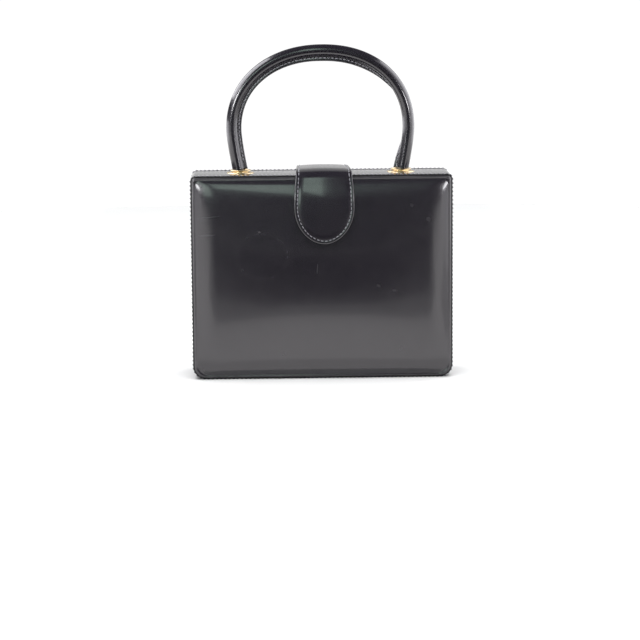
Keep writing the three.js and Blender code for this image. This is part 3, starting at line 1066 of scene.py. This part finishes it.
def softbox(name, place, target, size, radiance, colour):
    """A soft light panel that faces a point and shows in no reflection."""
    data = bpy.data.lights.new(name, "AREA")
    data.shape = "RECTANGLE"
    data.size, data.size_y = size
    data.energy = radiance * math.pi * size[0] * size[1]
    data.color = linear(colour)[:3]
    light = new_object(name, data)
    light.location = place
    light.rotation_euler = (Vector(place) - Vector(target)).to_track_quat("Z", "Y").to_euler()
    light.visible_camera = False
    light.visible_glossy = False


def stage_sheet(name, corners, material):
    """A flat sheet of the stage from its corner points."""
    mesh = bpy.data.meshes.new(name)
    mesh.from_pydata(corners, [], [tuple(range(len(corners)))])
    mesh.materials.append(material)
    sheet = new_object(name, mesh)
    return sheet


def plain_emission(name, colour, strength):
    """An even glow for backdrops and cards."""
    material, tree = new_material(name)
    return finished(material, add_node(
        tree, "Emission", {"Color": linear(colour), "Strength": strength}))


def matt_paper(name, colour):
    """Seamless paper, matt and pale, which takes soft shadows."""
    material, tree, place = patterned_material(name)
    fibre = add_node(tree, "TexNoise", {"Vector": place, "Scale": 1 / (1.5 * MM), "Detail": 3})
    soft = add_node(tree, "Bump", {"Height": fibre, "Strength": 0.2, "Distance": 0.02 * MM})
    return finished(material, add_node(tree, "BsdfPrincipled", {
        "Base Color": colour, "Roughness": 0.9, "Specular IOR Level": 0.1, "Normal": soft}))


def only_seen_by(obj, camera=False, glossy=False):
    """Limits a stage object to the camera's view or to reflections."""
    obj.visible_camera = camera
    obj.visible_glossy = glossy
    for ray in ("diffuse", "transmission", "shadow"):
        setattr(obj, "visible_" + ray, False)


def lying(height, *spots):
    """Corners of a card that lies at a height, over these spots on the floor."""
    return [(x, y, height) for x, y in spots]


def oblong(height, left, right, front, back):
    """Corners of an oblong card that lies at a height."""
    return lying(height, (left, front), (right, front), (right, back), (left, back))


def upright(start, end, low, high):
    """Corners of an upright card between two spots on the floor."""
    return [(*start, low), (*end, low), (*end, high), (*start, high)]


# The stage's sizes and cards are in metres.
FLOOR_RADIUS = 1.5
FLOOR_POINTS = 96
BACKDROP_RADIUS = 12.0
BACKDROP_GLOW = 1.05
ROOM_COLOUR = "#aab0b2"
ROOM_GLOW = 0.25
SENSOR_WIDTH = 36
CAMERA_REACH = 100

# Softboxes, which light the bag but show in no reflection.
SOFTBOXES = table(
    "name place target size radiance colour",
    ("key", (0.0, 0.1, 2.2), (0, 0.1, 0), (3.2, 3.2), 3.1, "#ffffff"),
    ("front_fill", (0.0, -1.6, 1.9), (0, -0.1, 0), (2.0, 1.0), 3.1, "#ffffff"))
# Glowing cards that only reflections see.
CARDS = table(
    "name colour strength corners",
    ("front_flag", "#060607", 1.0, lying(
        0.003, (-0.08, -0.37), (0.08, -0.37), (0.25, -0.60), (0.48, -1.6), (-0.40, -1.6),
        (-0.22, -0.60))),
    ("flag_fringe", "#ffffff", 0.75, lying(
        0.002, (-0.12, -0.29), (0.12, -0.29), (0.33, -0.55), (0.62, -1.6), (-0.56, -1.6),
        (-0.31, -0.55))),
    ("floor_glow", "#fffdfd", 2.05, oblong(0.001, -1.3, 1.3, -1.7, -0.20)),
    # These two strips nearest the bag's front glow less, step by step. This is painted shade: it
    # stands in for the floor's shadow by the bag, which the glowing cards hide from reflections.
    ("floor_glow_near", "#fffdfd", 1.95, oblong(0.001, -0.3, 0.3, -0.20, -0.075)),
    ("floor_glow_contact", "#fffdfd", 1.55, oblong(0.001, -0.3, 0.3, -0.075, -0.041)),
    ("floor_shade_right", "#fffdfd", 1.2, lying(
        0.004, (0.29, -0.15), (0.72, -0.15), (0.76, -0.62), (0.37, -0.44))),
    ("floor_glow_left", "#fffdfd", 1.7, oblong(0.001, -1.3, -0.3, -0.20, 1.5)),
    ("floor_glow_right", "#fffdfd", 1.5, oblong(0.001, 0.3, 1.3, -0.20, 1.5)),
    ("back_flag", "#060607", 1.0, lying(
        0.003, (-0.08, 0.35), (0.08, 0.35), (0.27, 0.55), (0.60, 1.45), (-0.60, 1.45),
        (-0.27, 0.55))),
    ("back_low", "#ffffff", 1.1, upright((-2.0, 1.6), (2.0, 1.6), 0.0, 0.26)),
    ("back_middle", "#ffffff", 0.75, upright((-2.0, 1.6), (2.0, 1.6), 0.26, 0.55)),
    ("back_high", "#ffffff", 0.4, upright((-2.0, 1.6), (2.0, 1.6), 0.55, 2.0)),
    ("left_wall", "#fbfaff", 1.9, upright((-1.2, -1.7), (-1.2, -0.5), 0.0, 0.15)),
    ("left_wall_high", "#fbfaff", 0.7, upright((-1.2, -1.7), (-1.2, -0.5), 0.15, 1.9)),
    ("right_wall", "#fbfaff", 2.1, upright((1.2, -1.7), (1.2, -0.5), 0.0, 0.4)),
    ("right_wall_high", "#fbfaff", 1.5, upright((1.2, -1.7), (1.2, -0.5), 0.4, 1.9)),
    ("left_softbox", "#fbfaff", 4.0, upright((-1.1, -0.5), (-1.1, 1.2), 0.0, 0.25)),
    ("left_softbox_high", "#fbfaff", 7.0, upright((-1.1, -0.9), (-1.1, 1.2), 0.6, 2.2)),
    ("right_softbox", "#fbfaff", 4.0, upright((1.1, -0.5), (1.1, 1.2), 0.0, 1.6)),
    ("left_strobe", "#fdfcff", 30.0, upright((-0.86, -1.00), (-0.62, -1.14), 0.34, 0.58)),
    ("right_strobe", "#fdfcff", 24.0, upright((0.90, -1.00), (0.68, -1.14), 0.28, 0.46)),
    ("window", "#cfe6da", 4.9, [
        (-0.26, -2.7, 1.35), (0.06, -2.7, 0.62), (0.06, -2.7, 2.35), (-0.26, -2.7, 2.35)]),
    ("window_left", "#cfe6da", 4.6, upright((-1.0, -2.7), (-0.55, -2.7), 0.35, 1.6)))


class BagStageMaker(bpy.types.Operator):
    """Builds the pale floor, the backdrop, the soft lights and the camera"""
    bl_idname = "box_bag.stage"
    bl_label = "Studio stage"

    def execute(self, context):
        stage = settings().stage
        scene = context.scene
        rim = [(FLOOR_RADIUS * math.cos(a), FLOOR_RADIUS * math.sin(a), 0.0)
               for a in np.linspace(0, 2 * math.pi, FLOOR_POINTS, endpoint=False)]
        stage_sheet("paper_floor", rim, matt_paper("matt_paper", stage.floor_colour))

        dome_mesh = bpy.data.meshes.new("white_backdrop")
        build = bmesh.new()
        bmesh.ops.create_uvsphere(build, u_segments=48, v_segments=24, radius=BACKDROP_RADIUS)
        build.to_mesh(dome_mesh)
        build.free()
        dome_mesh.materials.append(plain_emission("white_glow", "#ffffff", BACKDROP_GLOW))
        dome = new_object("white_backdrop", dome_mesh)
        only_seen_by(dome, camera=True)

        for card in CARDS:
            glow = plain_emission(card["name"], card["colour"], card["strength"])
            only_seen_by(stage_sheet(card["name"], card["corners"], glow), glossy=True)
        for box in SOFTBOXES:
            softbox(**box)

        world = bpy.data.worlds.new("dim_room")
        scene.world = world
        world.use_nodes = True
        background = world.node_tree.nodes["Background"]
        background.inputs["Color"].default_value = linear(ROOM_COLOUR)
        background.inputs["Strength"].default_value = ROOM_GLOW
        scene.view_settings.view_transform = "Standard"

        camera_data = bpy.data.cameras.new("camera")
        camera_data.lens = stage.camera_lens
        camera_data.sensor_width = SENSOR_WIDTH
        camera_data.clip_end = CAMERA_REACH
        camera = new_object("camera", camera_data)
        turn, lift, roll = stage.camera_azimuth, stage.camera_elevation, stage.camera_roll
        right = Vector((math.cos(turn), math.sin(turn), 0))
        back = Vector((
            math.sin(turn) * math.cos(lift), -math.cos(turn) * math.cos(lift), math.sin(lift)))
        up = back.cross(right)
        rolled_right = math.cos(roll) * right - math.sin(roll) * up
        rolled_up = math.sin(roll) * right + math.cos(roll) * up
        axes = Matrix((rolled_right, rolled_up, back)).transposed().to_4x4()
        spot = Vector(stage.camera_target) + back * stage.camera_distance
        camera.matrix_world = Matrix.Translation(spot) @ axes
        scene.camera = camera
        return {"FINISHED"}


OPERATORS = [BagPanels, BagFrame, BagTab, BagHandle, BagFittings, BagStageMaker]


class BagSidebar(bpy.types.Panel):
    """Lists the bag's pieces and settings"""
    bl_idname = "VIEW3D_PT_box_bag"
    bl_label = "Box bag"
    bl_space_type = "VIEW_3D"
    bl_region_type = "UI"
    bl_category = "Box bag"

    def draw(self, context):
        for operator in OPERATORS:
            self.layout.operator(operator.bl_idname)
        bag = context.scene.box_bag
        for group in (bag.sizes, bag.colours, bag.stage):
            for key in group.__annotations__:
                self.layout.prop(group, key)


CLASSES = [BagSizes, BagColours, BagStage, BoxBagSettings, *OPERATORS, BagSidebar]


def register():
    for cls in CLASSES:
        bpy.utils.register_class(cls)
    bpy.types.Scene.box_bag = bpy.props.PointerProperty(type=BoxBagSettings)


def unregister():
    del bpy.types.Scene.box_bag
    for cls in reversed(CLASSES):
        bpy.utils.unregister_class(cls)


def main():
    register()
    bpy.ops.box_bag.panels()
    bpy.ops.box_bag.frame()
    bpy.ops.box_bag.tab()
    bpy.ops.box_bag.handle()
    bpy.ops.box_bag.fittings()
    bpy.ops.box_bag.stage()


if __name__ == "__main__":
    main()
